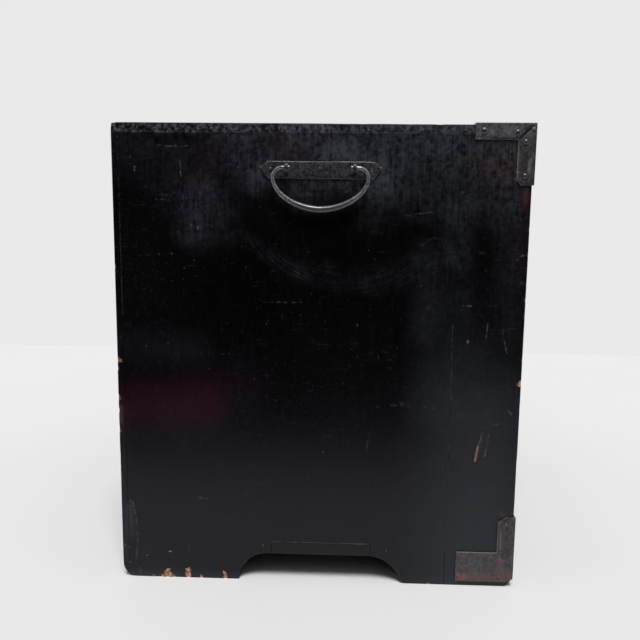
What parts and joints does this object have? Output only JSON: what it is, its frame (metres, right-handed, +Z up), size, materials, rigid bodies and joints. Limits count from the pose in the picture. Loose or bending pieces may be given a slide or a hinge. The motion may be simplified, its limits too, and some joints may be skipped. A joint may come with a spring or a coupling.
{
  "type": "ship chest",
  "caption": "Lacquered wooden ship chest with drawers, a hinged door, iron corner straps, arched feet and a swinging bail on each end.",
  "frame": {"origin": "middle of the case's footprint, on the floor", "axes": "+Z up; the drawers and door face -Y; the end in the picture faces -X"},
  "size_m": [0.5844, 0.4441, 0.5017],
  "materials": {
    "lacquered_board": "worn black lacquer",
    "front_board": "dark brown lacquer over grain",
    "inner_board": "bare paulownia",
    "iron": "blackened wrought iron, brown with age"
  },
  "bodies": {
    "case": {"left_end_rear_board": "lacquered_board", "left_end_front_board": "lacquered_board", "right_end_rear_board": "lacquered_board", "right_end_front_board": "lacquered_board", "top_board": "lacquered_board", "top_rear_strip": "lacquered_board", "bottom_board": "lacquered_board", "back_lower_board": "lacquered_board", "back_upper_board": "lacquered_board", "main_shelf": "lacquered_board", "partition": "lacquered_board", "drawer_shelf": "lacquered_board", "door_shelf": "inner_board", "front_rail": "lacquered_board", "upper_left_strap": "iron", "upper_right_strap": "iron", "lower_left_strap": "iron", "lower_right_strap": "iron", "left_carry_plate": "iron", "left_carry_post_left": "iron", "left_carry_post_right": "iron", "right_carry_plate": "iron", "right_carry_post_left": "iron", "right_carry_post_right": "iron", "upper_hinge_case_leaf": "iron", "lower_hinge_case_leaf": "iron"},
    "top_drawer": {"top_drawer_front": "front_board", "top_drawer_side_left": "inner_board", "top_drawer_side_right": "inner_board", "top_drawer_back": "inner_board", "top_drawer_bottom": "inner_board", "top_drawer_1_post_left": "iron", "top_drawer_1_post_right": "iron", "top_drawer_2_post_left": "iron", "top_drawer_2_post_right": "iron", "top_drawer_lock_plate": "iron"},
    "upper_drawer": {"upper_drawer_front": "front_board", "upper_drawer_side_left": "inner_board", "upper_drawer_side_right": "inner_board", "upper_drawer_back": "inner_board", "upper_drawer_bottom": "inner_board", "upper_drawer_post_left": "iron", "upper_drawer_post_right": "iron"},
    "lower_drawer": {"lower_drawer_front": "front_board", "lower_drawer_side_left": "inner_board", "lower_drawer_side_right": "inner_board", "lower_drawer_back": "inner_board", "lower_drawer_bottom": "inner_board", "lower_drawer_post_left": "iron", "lower_drawer_post_right": "iron"},
    "door": {"door": "front_board", "door_lock_plate": "iron", "upper_hinge_door_leaf": "iron", "lower_hinge_door_leaf": "iron"},
    "left_carry_handle": {"left_carry_bail": "iron"},
    "right_carry_handle": {"right_carry_bail": "iron"},
    "top_drawer_1_handle": {"top_drawer_1_bail": "iron"},
    "top_drawer_2_handle": {"top_drawer_2_bail": "iron"},
    "upper_drawer_handle": {"upper_drawer_bail": "iron"},
    "lower_drawer_handle": {"lower_drawer_bail": "iron"}
  },
  "joints": [
    {"name": "top_drawer_slide", "type": "slide", "parent": "case", "child": "top_drawer", "axis": [0, -1, 0], "range_m": [0, 0.3]},
    {"name": "upper_drawer_slide", "type": "slide", "parent": "case", "child": "upper_drawer", "axis": [0, -1, 0], "range_m": [0, 0.3]},
    {"name": "lower_drawer_slide", "type": "slide", "parent": "case", "child": "lower_drawer", "axis": [0, -1, 0], "range_m": [0, 0.3]},
    {"name": "door_hinge", "type": "hinge", "parent": "case", "child": "door", "pos_m": [0.26125, -0.2213, 0.19], "axis": [0, 0, 1], "range_deg": [0, 170]},
    {"name": "left_carry_swing", "type": "hinge", "parent": "case", "child": "left_carry_handle", "pos_m": [-0.2875, -0.0008, 0.4546], "axis": [0, 1, 0], "range_deg": [-5, 185]},
    {"name": "right_carry_swing", "type": "hinge", "parent": "case", "child": "right_carry_handle", "pos_m": [0.2875, -0.0008, 0.4546], "axis": [0, -1, 0], "range_deg": [-5, 185]},
    {"name": "top_drawer_1_pull_swing", "type": "hinge", "parent": "top_drawer", "child": "top_drawer_1_handle", "pos_m": [-0.15196, -0.223, 0.4292], "axis": [-1, 0, 0], "range_deg": [-5, 185]},
    {"name": "top_drawer_2_pull_swing", "type": "hinge", "parent": "top_drawer", "child": "top_drawer_2_handle", "pos_m": [0.15196, -0.223, 0.4292], "axis": [-1, 0, 0], "range_deg": [-5, 185]},
    {"name": "upper_drawer_pull_swing", "type": "hinge", "parent": "upper_drawer", "child": "upper_drawer_handle", "pos_m": [-0.1145, -0.223, 0.28], "axis": [-1, 0, 0], "range_deg": [-5, 185]},
    {"name": "lower_drawer_pull_swing", "type": "hinge", "parent": "lower_drawer", "child": "lower_drawer_handle", "pos_m": [-0.1145, -0.223, 0.1282], "axis": [-1, 0, 0], "range_deg": [-5, 185]}
  ]
}
